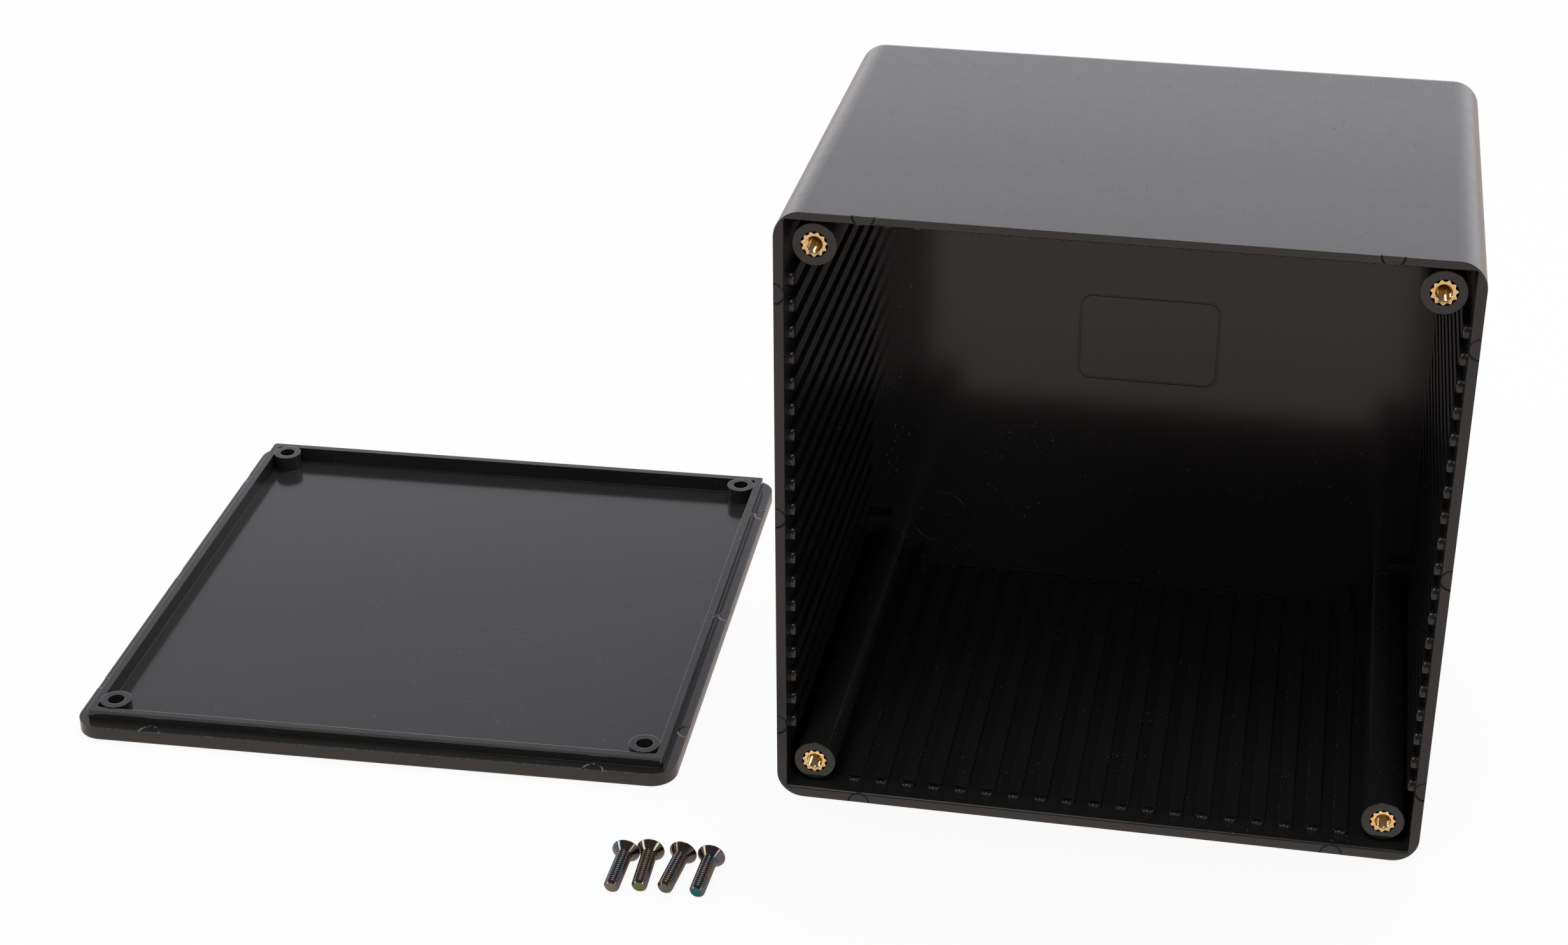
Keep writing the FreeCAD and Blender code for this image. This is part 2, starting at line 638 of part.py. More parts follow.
def make_screw(name, x, y, turn):
    body = new_body(name)
    profile = new_sketch(body, f"{name}_profile", "XZ_Plane")
    screw_profile(profile)
    turned = body.newObject("PartDesign::Revolution", f"{name}_turned")
    turned.Profile = profile
    turned.ReferenceAxis = (profile, ["V_Axis"])
    turned.Angle = 360.0
    doc.recompute()
    slot_sketch = new_sketch(body, f"{name}_slot_outline", height="sizes.screw_length")
    slot_outline(slot_sketch)
    slot = pocket(body, f"{name}_slot", slot_sketch, "sizes.recess_depth")
    slot.TaperAngle = RECESS_TAPER
    round_about(body, f"{name}_recess", [slot], 2, angle=90.0)
    # it lies on the corner of its tip and on the rim of its head
    contact_radius = size("thread_diameter") / 2
    rise = (size("head_diameter") - size("thread_diameter")) / 2
    run = size("screw_length") - size("head_land") - size("tip_chamfer")
    tilt = math.atan2(rise, run)
    turn_angle = math.radians(turn)
    axis = FreeCAD.Vector(
        math.cos(tilt) * math.cos(turn_angle),
        math.cos(tilt) * math.sin(turn_angle),
        math.sin(tilt),
    )
    height = contact_radius * math.cos(tilt) - size("tip_chamfer") * math.sin(tilt)
    rotation = FreeCAD.Rotation(FreeCAD.Vector(0, 0, 1), axis)
    body.Placement = FreeCAD.Placement(FreeCAD.Vector(x, y, height), rotation)
    doc.recompute()
    return body


screws = []
for number in range(1, 5):
    spot = [size(f"screw_{number}_{part}") for part in ("x", "y", "turn")]
    screws.append(make_screw(f"lid_screw_{number}", *spot))

# Every feature has to be sound before anything is written
doc.recompute()
for item in doc.Objects:
    if "Invalid" in item.State or "Error" in item.State:
        raise RuntimeError(f"{item.Name} failed: {item.State}")

os.makedirs("parts", exist_ok=True)
for body in [case, lid, *inserts, *screws]:
    shape = body.Shape
    if shape.isNull() or not shape.isValid() or len(shape.Solids) != 1:
        raise RuntimeError(f"{body.Label} is not one sound solid")
    shape.exportStep(f"parts/{body.Label}.step")
    box = shape.BoundBox
    print(
        f"{body.Label}: {shape.Volume:.1f} mm3,"
        f" x {box.XMin:.2f} to {box.XMax:.2f},"
        f" y {box.YMin:.2f} to {box.YMax:.2f},"
        f" z {box.ZMin:.2f} to {box.ZMax:.2f}"
    )
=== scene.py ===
# %% [markdown]
# # A plastic project box, opened
#
# The object is a square, deep box of black ABS for electronics. It stands on
# one side wall with its mouth towards the viewer. Its lid lies to the left with
# the inside up, and its four screws lie in front. Case and lid come finished
# from the CAD model, so this lesson gives them their plastic, and then makes
# the brass inserts and the screws anew, because their threads and knurls are
# too fine for the solids.

# %% Load the CAD model
import math
from functools import partial

import bmesh
import bpy
from mathutils import Matrix, Vector


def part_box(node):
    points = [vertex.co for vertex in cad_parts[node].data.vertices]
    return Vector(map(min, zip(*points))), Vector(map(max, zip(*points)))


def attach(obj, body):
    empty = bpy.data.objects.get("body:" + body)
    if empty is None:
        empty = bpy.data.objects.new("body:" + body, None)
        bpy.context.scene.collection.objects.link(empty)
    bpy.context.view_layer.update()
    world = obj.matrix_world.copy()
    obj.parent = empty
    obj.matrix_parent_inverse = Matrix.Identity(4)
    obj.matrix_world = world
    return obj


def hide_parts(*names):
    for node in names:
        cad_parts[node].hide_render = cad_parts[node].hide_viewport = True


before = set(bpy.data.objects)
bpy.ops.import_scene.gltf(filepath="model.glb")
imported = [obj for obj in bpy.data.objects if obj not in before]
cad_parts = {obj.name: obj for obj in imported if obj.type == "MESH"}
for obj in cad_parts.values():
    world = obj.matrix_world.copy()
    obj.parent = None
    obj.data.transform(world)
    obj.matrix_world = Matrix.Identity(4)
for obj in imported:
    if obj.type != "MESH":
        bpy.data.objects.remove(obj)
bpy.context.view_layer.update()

MM = 0.001
print("nodes:", sorted(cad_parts))

# %% [markdown]
# Everything below is written in millimetres and turned to metres by MM, so a
# size here reads like a size on a drawing.
#
# ## The view
#
# The photograph was taken from a little above the box and a little to its
# right, with a medium telephoto lens. A camera could be aimed with a Track To
# constraint, but a fitted camera is exact in its three axes, so these axes go
# straight into its matrix. The lens is slightly off centre, which the shift
# takes up.

# %% The camera
CAMERA_AT = Vector((29.82, -470.25, 300.48)) * MM
CAMERA_RIGHT = Vector((0.98336, 0.18163, 0.00372))
CAMERA_UP = Vector((-0.08822, 0.45958, 0.88374))
CAMERA_BACK = Vector((0.1588, -0.86937, 0.46795))
LENS_MM = 63.14
SENSOR_MM = 36.0
LENS_SHIFT = (-0.0365, -0.0031)
CLIP = (10 * MM, 20.0)

camera_data = bpy.data.cameras.new("camera")
camera_data.lens = LENS_MM
camera_data.sensor_width = SENSOR_MM
camera_data.sensor_fit = "HORIZONTAL"
camera_data.shift_x, camera_data.shift_y = LENS_SHIFT
camera_data.clip_start, camera_data.clip_end = CLIP
camera = bpy.data.objects.new("camera", camera_data)
turned = Matrix((CAMERA_RIGHT, CAMERA_UP, CAMERA_BACK)).transposed().to_4x4()
camera.matrix_world = Matrix.Translation(CAMERA_AT) @ turned
bpy.context.scene.collection.objects.link(camera)
bpy.context.scene.camera = camera
bpy.context.scene.view_settings.view_transform = "Standard"
print("camera at", [round(value, 4) for value in CAMERA_AT])

# %% [markdown]
# ## Two helpers for materials
#
# Colours are picked as sRGB hex values, which is how they look on a screen,
# while Blender's nodes work with linear light. One function turns one into the
# other. A second one adds a node with its settings and links, so that a
# material reads as a short list of what it is made of.

# %% Colour and node helpers


def linear(hex_colour):
    """An sRGB hex value as linear RGBA."""
    channels = [int(hex_colour[start : start + 2], 16) / 255 for start in (1, 3, 5)]
    low_or_high = [
        c / 12.92 if c <= 0.04045 else ((c + 0.055) / 1.055) ** 2.4 for c in channels
    ]
    return (*low_or_high, 1.0)


def add_node(tree, kind, inputs=None, stops=(), **settings):
    """Adds a node. An input is a value or an output, a stop (place, hex colour)."""
    node = tree.nodes.new(kind)
    for name, value in settings.items():
        setattr(node, name, value)
    for socket, value in (inputs or {}).items():
        if isinstance(value, bpy.types.NodeSocket):
            tree.links.new(value, node.inputs[socket])
        else:
            node.inputs[socket].default_value = value
    if stops:
        elements = node.color_ramp.elements
        while len(elements) < len(stops):
            elements.new(0.5)
        for element, (position, hex_colour) in zip(elements, stops):
            element.position = position
            element.color = linear(hex_colour)
    return node


def new_material(name):
    """An empty material and its node tree."""
    material = bpy.data.materials.new(name)
    material.use_nodes = True
    material.node_tree.nodes.clear()
    return material, material.node_tree


WHITE = (1.0, 1.0, 1.0, 1.0)
print("mid grey in linear light:", round(linear("#808080")[0], 3))

# %% [markdown]
# ## The studio
#
# Black gloss plastic shows its surroundings more than its own colour, so the
# room matters more here than the lamps. Behind the box hangs a white cloth,
# palest near the table, and the side that the viewer stands on is dark. The
# world holds that as two ramps over the height of each direction, mixed by how
# far the direction points backwards. One plain grey world would be simpler, but
# it would light the cavity evenly and take the contrast out of brass and
# nickel. What the camera sees directly is plain white, which Light Path allows
# without more light on the object.

# %% The surroundings
ROOM_LEVEL = 1.8
CLOTH_BEHIND = [
    (0.0, "#d0cccb"),
    (0.5, "#fffdff"),
    (0.62, "#fcfaff"),
    (0.66, "#eeecf4"),
    (0.69, "#d2d0d8"),
    (0.745, "#a4a3ab"),
    (0.86, "#8c8b91"),
    (1.0, "#7c7c7f"),
]
DARK_IN_FRONT = [
    (0.0, "#c8bfbb"),
    (0.5, "#a8a09c"),
    (0.56, "#565250"),
    (0.75, "#424040"),
    (1.0, "#565658"),
]
# the room turns from dark to cloth while a direction's Y runs from -0.3 to 0.3
TURN_OF_THE_ROOM = 0.3

world = bpy.data.worlds.new("tent")
world.use_nodes = True
bpy.context.scene.world = world
tent = world.node_tree
tent.nodes.clear()
direction = add_node(tent, "ShaderNodeTexCoord").outputs["Generated"]
axes = add_node(tent, "ShaderNodeSeparateXYZ", {"Vector": direction})
height = add_node(
    tent,
    "ShaderNodeMapRange",
    {"Value": axes.outputs["Z"], "From Min": -1.0, "From Max": 1.0},
).outputs["Result"]
backwards = add_node(
    tent,
    "ShaderNodeMapRange",
    {
        "Value": axes.outputs["Y"],
        "From Min": -TURN_OF_THE_ROOM,
        "From Max": TURN_OF_THE_ROOM,
    },
    interpolation_type="SMOOTHSTEP",
).outputs["Result"]
front, behind = (
    add_node(tent, "ShaderNodeValToRGB", {"Fac": height}, stops=side).outputs["Color"]
    for side in (DARK_IN_FRONT, CLOTH_BEHIND)
)
room = add_node(
    tent, "ShaderNodeMix", {0: backwards, 6: front, 7: behind}, data_type="RGBA"
)
around = add_node(
    tent, "ShaderNodeBackground", {"Color": room.outputs[2], "Strength": ROOM_LEVEL}
)
plain = add_node(tent, "ShaderNodeBackground", {"Color": WHITE, "Strength": 1.0})
seen = add_node(tent, "ShaderNodeLightPath").outputs["Is Camera Ray"]
both = add_node(
    tent,
    "ShaderNodeMixShader",
    {0: seen, 1: around.outputs[0], 2: plain.outputs[0]},
)
add_node(tent, "ShaderNodeOutputWorld", {"Surface": both.outputs[0]})
print("tones behind:", len(CLOTH_BEHIND), "and in front:", len(DARK_IN_FRONT))

# %% [markdown]
# The floor is white paper under slightly warm light. It keeps a faint shadow:
# the camera sees mostly plain white and a share of the real, shaded floor. What
# the plastic mirrors is brightest beside the box and falls off towards the
# viewer, so the glossy rays see a share of white that depends on the place.

# %% The floor
FLOOR_REACH = 3.0
CAMERA_SHARE = 0.92
GLOSSY_SHARE_NEAR = 0.9
GLOSSY_SHARE_FAR = 0.42
# in Y, from the plane of the rim to a little in front of it
FALLS_OFF_FROM = -45.0
FALLS_OFF_TO = -66.0
PAPER = "#c6bbb7"
MIRRORED_WHITE = "#fff0e9"

floor_mesh = bpy.data.meshes.new("floor")
floor_shape = bmesh.new()
bmesh.ops.create_grid(floor_shape, x_segments=1, y_segments=1, size=FLOOR_REACH)
floor_shape.to_mesh(floor_mesh)
floor_shape.free()
floor = bpy.data.objects.new("floor", floor_mesh)
bpy.context.scene.collection.objects.link(floor)

paper, tree = new_material("white_paper_floor")
ray = add_node(tree, "ShaderNodeLightPath").outputs
paper_colour, plain_colour = (
    add_node(
        tree,
        "ShaderNodeMix",
        {0: ray["Is Camera Ray"], 6: linear(colour), 7: WHITE},
        data_type="RGBA",
    ).outputs[2]
    for colour in (PAPER, MIRRORED_WHITE)
)
shaded = add_node(tree, "ShaderNodeBsdfDiffuse", {"Color": paper_colour})
white = add_node(
    tree, "ShaderNodeEmission", {"Color": plain_colour, "Strength": 1.0}
)
mirrored = add_node(
    tree,
    "ShaderNodeMath",
    {0: ray["Is Glossy Ray"], 1: ray["Is Transmission Ray"]},
    operation="MAXIMUM",
)
floor_place = add_node(tree, "ShaderNodeTexCoord").outputs["Object"]
floor_axes = add_node(tree, "ShaderNodeSeparateXYZ", {"Vector": floor_place})
fall_off = add_node(
    tree,
    "ShaderNodeMapRange",
    {
        "Value": floor_axes.outputs["Y"],
        "From Min": FALLS_OFF_TO * MM,
        "From Max": FALLS_OFF_FROM * MM,
        "To Min": GLOSSY_SHARE_FAR,
        "To Max": GLOSSY_SHARE_NEAR,
    },
)
mirrored_share = add_node(
    tree,
    "ShaderNodeMath",
    {0: mirrored.outputs[0], 1: fall_off.outputs["Result"]},
    operation="MULTIPLY",
)
share = add_node(
    tree,
    "ShaderNodeMath",
    {0: ray["Is Camera Ray"], 1: CAMERA_SHARE, 2: mirrored_share.outputs[0]},
    operation="MULTIPLY_ADD",
)
floor_mix = add_node(
    tree,
    "ShaderNodeMixShader",
    {0: share.outputs[0], 1: shaded.outputs[0], 2: white.outputs[0]},
)
add_node(tree, "ShaderNodeOutputMaterial", {"Surface": floor_mix.outputs[0]})
floor.data.materials.append(paper)
print("the floor reaches", FLOOR_REACH, "m each way")

# %% [markdown]
# A broad softbox hangs overhead and a tall one high in front, and two small ones
# stand low to the left and right. They draw the thin light lines along edges,
# brass and threads. A sun would draw hard shadows, which the photograph hasn't.

# %% The softboxes
# where each stands and how wide and high it is, in millimetres, and its watts
SOFTBOXES = {
    "softbox_overhead": ((100, 300, 1200), (700, 700), 7.5),
    "softbox_left": ((-960, -610, 260), (250, 250), 0.9),
    "softbox_right": ((710, -850, 380), (250, 250), 0.9),
    "softbox_high_in_front": ((-200, -480, 1060), (240, 700), 2.0),
}
for name, (spot, sides, watts) in SOFTBOXES.items():
    lamp_data = bpy.data.lights.new(name, "AREA")
    lamp_data.shape = "RECTANGLE"
    lamp_data.size, lamp_data.size_y = (side * MM for side in sides)
    lamp_data.energy = watts
    lamp = bpy.data.objects.new(name, lamp_data)
    lamp.location = Vector(spot) * MM
    lamp.rotation_euler = (-lamp.location).to_track_quat("-Z", "Y").to_euler()
    bpy.context.scene.collection.objects.link(lamp)
    print(name, "at", spot, "mm,", watts, "W")

# %% [markdown]
# ## Black ABS
#
# The case and the lid are injection moulded in black ABS, a hard plastic with
# an index of refraction of about 1.54. Its own colour is nearly black. The
# mould is polished inside, so the ribs mirror in the walls, and finely
# sandblasted outside, which spreads the reflection to a satin sheen.
#
# Each moulding is one CAD node with one material, so the finish has to follow
# the place on the part. A vertex group would need the CAD mesh to change, so
# masks are used instead: numbers from 0 to 1 worked out from Object
# coordinates. Map Range makes them, and its To Max takes the mask before it, so
# that masks multiply without a node between them.

# %% Masks


def between(tree, value, low, high, soft, within=1.0):
    """The mask within, kept where the value lies from low to high."""
    for start, stop in ((low - soft, low + soft), (high + soft, high - soft)):
        limits = {"Value": value, "From Min": start, "From Max": stop, "To Max": within}
        within = add_node(tree, "ShaderNodeMapRange", limits).outputs["Result"]
    return within


def patches(tree, place, pattern, within=1.0):
    """The mask within, kept where a noise rises above a level."""
    grain, detail, level, soft = pattern
    noise = add_node(
        tree,
        "ShaderNodeTexNoise",
        {"Vector": place, "Scale": 1 / (grain * MM), "Detail": detail},
    )
    limits = {
        "Value": noise.outputs["Fac"],
        "From Min": level - soft,
        "From Max": level + soft,
        "To Max": within,
    }
    return add_node(tree, "ShaderNodeMapRange", limits).outputs["Result"]


print("a noise with grains of 3 mm has a scale of", round(1 / (3 * MM), 1))

# %% [markdown]
# The mould's ejector pins leave a faint circle wherever one pushes. On the rims
# they sit half over the outer edge. The circles lie the same way round all four
# corners, so folding the coordinates about the middle, with Absolute, brings
# them onto three spots, and the distance to the nearest one draws them all.

# %% Pin marks
# a real outline is half as wide, too fine to show, so it is drawn wider
PIN_RADIUS = 2.1
PIN_LINE = 0.28
PIN_SOFT = 0.05
PIN_SPOTS = [(44.3, 60.0), (60.0, 44.3), (60.0, 0.0)]
RIM_REACH = 0.3
RIM_SOFT = 0.05
FAR_AWAY = 1000.0


def on_rim_plane(rim_axes, across, along):
    """A vector with two numbers on the rim's axes and 0 on the third."""
    numbers = dict(zip(rim_axes, (across, along)))
    return [numbers.get(axis, 0.0) for axis in "XYZ"]


def pin_line(tree, place, rim_axes, level_axis, rim_level):
    """The outlines of the marks, on the rim alone."""
    to_plane = {0: place, 1: on_rim_plane(rim_axes, 1 / MM, 1 / MM)}
    in_mm = add_node(tree, "ShaderNodeVectorMath", to_plane, operation="MULTIPLY")
    folded = add_node(
        tree, "ShaderNodeVectorMath", {0: in_mm.outputs[0]}, operation="ABSOLUTE"
    )
    nearest = FAR_AWAY
    for across, along in PIN_SPOTS:
        apart = add_node(
            tree,
            "ShaderNodeVectorMath",
            {0: folded.outputs[0], 1: on_rim_plane(rim_axes, across, along)},
            operation="DISTANCE",
        )
        nearest = add_node(
            tree,
            "ShaderNodeMath",
            {0: nearest, 1: apart.outputs["Value"]},
            operation="MINIMUM",
        ).outputs[0]
    line = between(tree, nearest, PIN_RADIUS - PIN_LINE, PIN_RADIUS, PIN_SOFT)
    axes = add_node(tree, "ShaderNodeSeparateXYZ", {"Vector": place}).outputs
    low, high = (rim_level - RIM_REACH) * MM, (rim_level + RIM_REACH) * MM
    return between(tree, axes[level_axis], low, high, RIM_SOFT * MM, line)


print("pin marks at", PIN_SPOTS, "mm from the middle")

# %% [markdown]
# Handling leaves its own patterns. Scratches are a noise drawn out ninefold, of
# which only the peaks count. Dust is rare peaks of a fine noise, and only where
# a coarse one is high too. Edges are rubbed paler here and there. The outlines
# of the marks are painted light: a painted shadow on the case, a painted
# highlight on the lid.

# %% Patterns of wear
# each has its grain in millimetres, its detail, the level above which it shows,
# and how softly it begins
SCRATCHES = (0.35, 3.0, 0.705, 0.012)
DUSTY_PLACES = (7.0, 1.0, 0.6, 0.04)
DUST = (0.42, 0.0, 0.8, 0.01)
RUBBED = (0.9, 3.0, 0.55, 0.03)
DUST_COVER = 0.8
STREAK_TURN = (0.5, 0.3, 0.7)
STREAK_SCALE = (1.0, 0.11, 1.0)
WAVE_GRAIN = 20.0
SATIN_GRAIN = 3.0

# depths in millimetres, so that each relief keeps its real size
WAVE_DEPTH = 0.010
LINE_DEPTH = 0.10
SCRATCH_DEPTH = 0.0016
DUST_HEIGHT = 0.03
EDGE_ROUNDING = 0.15
EDGE_SAMPLES = 6
print("waves of", WAVE_DEPTH, "mm and marks of", LINE_DEPTH, "mm")

# %% [markdown]
# The relief is one bump over softly rounded edges. A Bevel node gives the
# rounding: moulded edges are never quite sharp, and each catches a thin line of
# light.

# %% Relief


def moulded_relief(tree, place, line, scratch, dust):
    """The bump's normal and, for the wear, the normal of the rounded edges."""
    waves = add_node(
        tree,
        "ShaderNodeTexNoise",
        {"Vector": place, "Scale": 1 / (WAVE_GRAIN * MM), "Detail": 2.0},
    )
    heights = 0.0
    for value, depth in (
        (waves.outputs["Fac"], WAVE_DEPTH),
        (line, -LINE_DEPTH),
        (scratch, -SCRATCH_DEPTH),
        (dust, DUST_HEIGHT / DUST_COVER),
    ):
        heights = add_node(
            tree,
            "ShaderNodeMath",
            {0: value, 1: depth * MM, 2: heights},
            operation="MULTIPLY_ADD",
        ).outputs[0]
    edges = add_node(
        tree, "ShaderNodeBevel", {"Radius": EDGE_ROUNDING * MM}, samples=EDGE_SAMPLES
    ).outputs["Normal"]
    bump = add_node(
        tree, "ShaderNodeBump", {"Height": heights, "Distance": 1.0, "Normal": edges}
    )
    return bump.outputs["Normal"], edges


# %% [markdown]
# An edge is where the rounded normal leaves the flat one. It is worn on the
# outside, and hardly at all where the mould kept it polished. The marks'
# outlines get painted light: a painted shadow of their groove, dark on the
# case's rim, and a painted highlight, pale on the lid's.

# %% Colour
BLACK_ABS = "#2b2b2a"
# pale ABS for rubbed edges and dust, and also the painted highlight on the lid's mark
# outlines
WORN_AND_HIGHLIGHT_ABS = "#8b8683"
EDGE_LIMIT = 0.95
EDGE_SOFT = 0.02
POLISHED_WEAR = 0.15


def moulded_colour(tree, place, polished, edges, dust, marked, painted_mark_colour):
    """Near black, paler where it is worn or dusty, with painted shade or highlight on
    the marks' outlines.
    """
    exposed = add_node(
        tree,
        "ShaderNodeMapRange",
        {"Value": polished, "To Min": 1.0, "To Max": POLISHED_WEAR},
    ).outputs["Result"]
    flat = add_node(tree, "ShaderNodeNewGeometry").outputs["Normal"]
    alike = add_node(
        tree, "ShaderNodeVectorMath", {0: edges, 1: flat}, operation="DOT_PRODUCT"
    ).outputs["Value"]
    rubbed = patches(tree, place, RUBBED, exposed)
    worn_edge = between(tree, alike, -1.0, EDGE_LIMIT, EDGE_SOFT, rubbed)
    wear = add_node(
        tree, "ShaderNodeMath", {0: dust, 1: worn_edge}, operation="MAXIMUM"
    ).outputs[0]
    colour = linear(BLACK_ABS)
    # worn and dusty places turn pale, then the marks' outlines take their painted shade
    # or painted highlight
    for mask, other in ((wear, WORN_AND_HIGHLIGHT_ABS), (marked, painted_mark_colour)):
        colour = add_node(
            tree,
            "ShaderNodeMix",
            {0: mask, 6: colour, 7: linear(other)},
            data_type="RGBA",
        ).outputs[2]
    return colour


print("black ABS is", BLACK_ABS, "and worn it is", WORN_AND_HIGHLIGHT_ABS)

# %% [markdown]
# The pits of the sandblasted mould are some 0.05 mm wide. That is too fine to
# draw, so roughness stands for them, and a coarser noise makes it a little
# uneven. The flat end of the mould's core was duller than its sides, and marks
# and scratches are duller still.

# %% Gloss
SATIN = 0.30
SATIN_RANGE = 0.05
POLISHED = 0.06
END_WALL = 0.15
MARK_DULLS = 0.6
SCRATCH_DULLS = 0.15


def moulded_roughness(tree, place, polished, end_wall, marked, scratch):
    """Satin outside, polished inside."""
    uneven = add_node(
        tree,
        "ShaderNodeTexNoise",
        {"Vector": place, "Scale": 1 / (SATIN_GRAIN * MM), "Detail": 4.0},
    )
    satin = add_node(
        tree,
        "ShaderNodeMapRange",
        {
            "Value": uneven.outputs["Fac"],
            "To Min": SATIN - SATIN_RANGE,
            "To Max": SATIN + SATIN_RANGE,
        },
    )
    roughness = add_node(
        tree,
        "ShaderNodeMapRange",
        {"Value": polished, "To Min": satin.outputs["Result"], "To Max": POLISHED},
    ).outputs["Result"]
    for mask, more in (
        (end_wall, END_WALL - POLISHED),
        (marked, MARK_DULLS),
        (scratch, SCRATCH_DULLS),
    ):
        roughness = add_node(
            tree,
            "ShaderNodeMath",
            {0: mask, 1: more, 2: roughness},
            operation="MULTIPLY_ADD",
        ).outputs[0]
    return roughness


print("roughness", SATIN, "outside and", POLISHED, "inside")

# %% [markdown]
# One function puts these together for both mouldings. It is told where the
# moulding's middle is and how it is turned, so that the pattern is drawn in the
# part's own axes, and then, from that middle, which box is polished, where the
# duller end lies and where the rim is. The last three say which colour of painted
# light the marks' outlines get, where their outlines show, and how dusty the
# moulding is.

# %% Black ABS
ABS_IOR = 1.54
POLISH_SOFT = 0.08


def black_abs(
    name, middle, turn, polished_box, dull_end, rim_axes, rim, painted_mark_colour, outline_pieces, dusty
):
    """The material of one moulding. Places are millimetres from its middle."""
    material, tree = new_material(name)
    place = add_node(
        tree,
        "ShaderNodeMapping",
        {
            "Vector": add_node(tree, "ShaderNodeTexCoord").outputs["Object"],
            "Location": Vector(middle) * MM,
            "Rotation": (0.0, 0.0, math.radians(turn)),
        },
        vector_type="TEXTURE",
    ).outputs[0]
    axes = add_node(tree, "ShaderNodeSeparateXYZ", {"Vector": place}).outputs
    polished = 1.0
    for axis, (low, high) in polished_box.items():
        limits = (low * MM, high * MM, POLISH_SOFT * MM, polished)
        polished = between(tree, axes[axis], *limits)
    axis, low, high = dull_end
    end_wall = between(tree, axes[axis], low * MM, high * MM, POLISH_SOFT * MM)

    line = pin_line(tree, place, rim_axes, *rim)
    # where the marks' outlines show, in pieces; the colour there is painted light, not
    # the plastic's own
    marked = patches(tree, place, outline_pieces, line)
    streaks = add_node(
        tree,
        "ShaderNodeMapping",
        {"Vector": place, "Rotation": STREAK_TURN, "Scale": STREAK_SCALE},
    ).outputs[0]
    scratch = patches(tree, streaks, SCRATCHES)
    dusty_places = patches(tree, place, DUSTY_PLACES, dusty * DUST_COVER)
    dust = patches(tree, place, DUST, dusty_places)

    normal, edges = moulded_relief(tree, place, line, scratch, dust)
    surface = add_node(
        tree,
        "ShaderNodeBsdfPrincipled",
        {
            "Base Color": moulded_colour(
                tree, place, polished, edges, dust, marked, painted_mark_colour
            ),
            "IOR": ABS_IOR,
            "Roughness": moulded_roughness(
                tree, place, polished, end_wall, marked, scratch
            ),
            "Normal": normal,
        },
    )
    add_node(tree, "ShaderNodeOutputMaterial", {"Surface": surface.outputs[0]})
    print(name, "has", len(tree.nodes), "nodes")
    return material


# %% [markdown]
# The case's whole cavity is polished, with its end wall a little duller. On the
# lid it is the whole inner side, out to the flange's edge, with its flat floor
# a little duller.

# %% The two mouldings
CASE_MIDDLE = (0.0, 0.0, 60.0)
case_plastic = black_abs(
    "moulded_abs_case",
    middle=CASE_MIDDLE,
    turn=0.0,
    polished_box={"X": (-58.05, 58.05), "Y": (-44.5, 43.3), "Z": (-57.75, 58.35)},
    dull_end=("Y", 42.9, 43.3),
    rim_axes="XZ",
    rim=("Y", -45.0),
    # painted shadow: the groove round each pin mark drawn black, as if in its own shade
    painted_mark_colour="#050505",
    outline_pieces=(1.6, 2.0, 0.35, 0.05),
    dusty=1.0,
)
lid_plastic = black_abs(
    "moulded_abs_lid",
    middle=(-142.2, 10.2, 0.0),
    turn=2.3,
    polished_box={"X": (-59.6, 59.6), "Y": (-59.6, 59.6), "Z": (1.7, 6.0)},
    dull_end=("Z", 1.7, 2.6),
    rim_axes="XY",
    rim=("Z", 3.0),
    # painted highlight: the lid's mark outlines drawn pale, as if their groove edges
    # caught the light
    painted_mark_colour=WORN_AND_HIGHLIGHT_ABS,
    outline_pieces=(1.6, 2.0, 0.5, 0.05),
    dusty=0.35,
)
for node_name, plastic in (("case", case_plastic), ("lid", lid_plastic)):
    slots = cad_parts[node_name].data.materials
    slots.clear()
    slots.append(plastic)

# %% [markdown]
# ## Making an object
#
# Every new piece is shaped in a bmesh in millimetres. One helper turns it into
# an object whose place is in its mesh, and shades it smooth except at sharp
# edges.

# %% From shape to object
MERGE = 0.002
TINY = 1e-6
UP = Vector((0, 0, 1))
ORIGIN = Vector((0, 0, 0))
SHARP = math.radians(38)
print("edges over", round(math.degrees(SHARP)), "degrees stay sharp")


def to_object(shape, name, turned_and_moved, material):
    """Places the shape, given in millimetres, and makes it an object at the origin."""
    bmesh.ops.recalc_face_normals(shape, faces=shape.faces[:])
    shape.transform(Matrix.Scale(MM, 4) @ turned_and_moved)
    mesh = bpy.data.meshes.new(name)
    shape.to_mesh(mesh)
    shape.free()
    mesh.materials.append(material)
    piece = bpy.data.objects.new(name, mesh)
    bpy.context.scene.collection.objects.link(piece)
    mesh.shade_smooth()
    mesh.set_sharp_from_angle(angle=SHARP)
    print(name, "has", len(mesh.polygons), "faces")
    return piece


# %% [markdown]
# ## Rib ends
#
# Nineteen card guide ribs stand on each wall. Their ends towards the mouth are
# bowed and well rounded at the top, and each catches a small arc of light. The
# CAD ribs end in a sharp edge, so a rounded nose is set in front of every one.
# A Bevel modifier on the CAD mesh can't be used, since that mesh stays as it
# is. The nose starts as a disc: a plane cuts off the arc that shows, an
# extrusion gives it the rib's height, and a bevel rounds its upper front edge.
# One nose is made on the lower wall, and its copies are moved along the wall
# and turned onto the other three.

# %% Rib ends
RIB_PITCH = 5.08
RIB_COUNT = 19
RIB_HALF_WIDTH = 1.3
RIB_BOW = 0.8
RIB_END_Y = -41.4
NOSE_REACH = 0.6
NOSE_ROUNDING = 0.5
NOSE_HEIGHT = 1.25
ROUNDING_STEPS = 5
ARC_STEPS = 48
# how far the ribs' tops stand from the middle, and each wall's turn
RIB_TOPS = 56.85
WALL_TURNS = (0, 90, 180, 270)


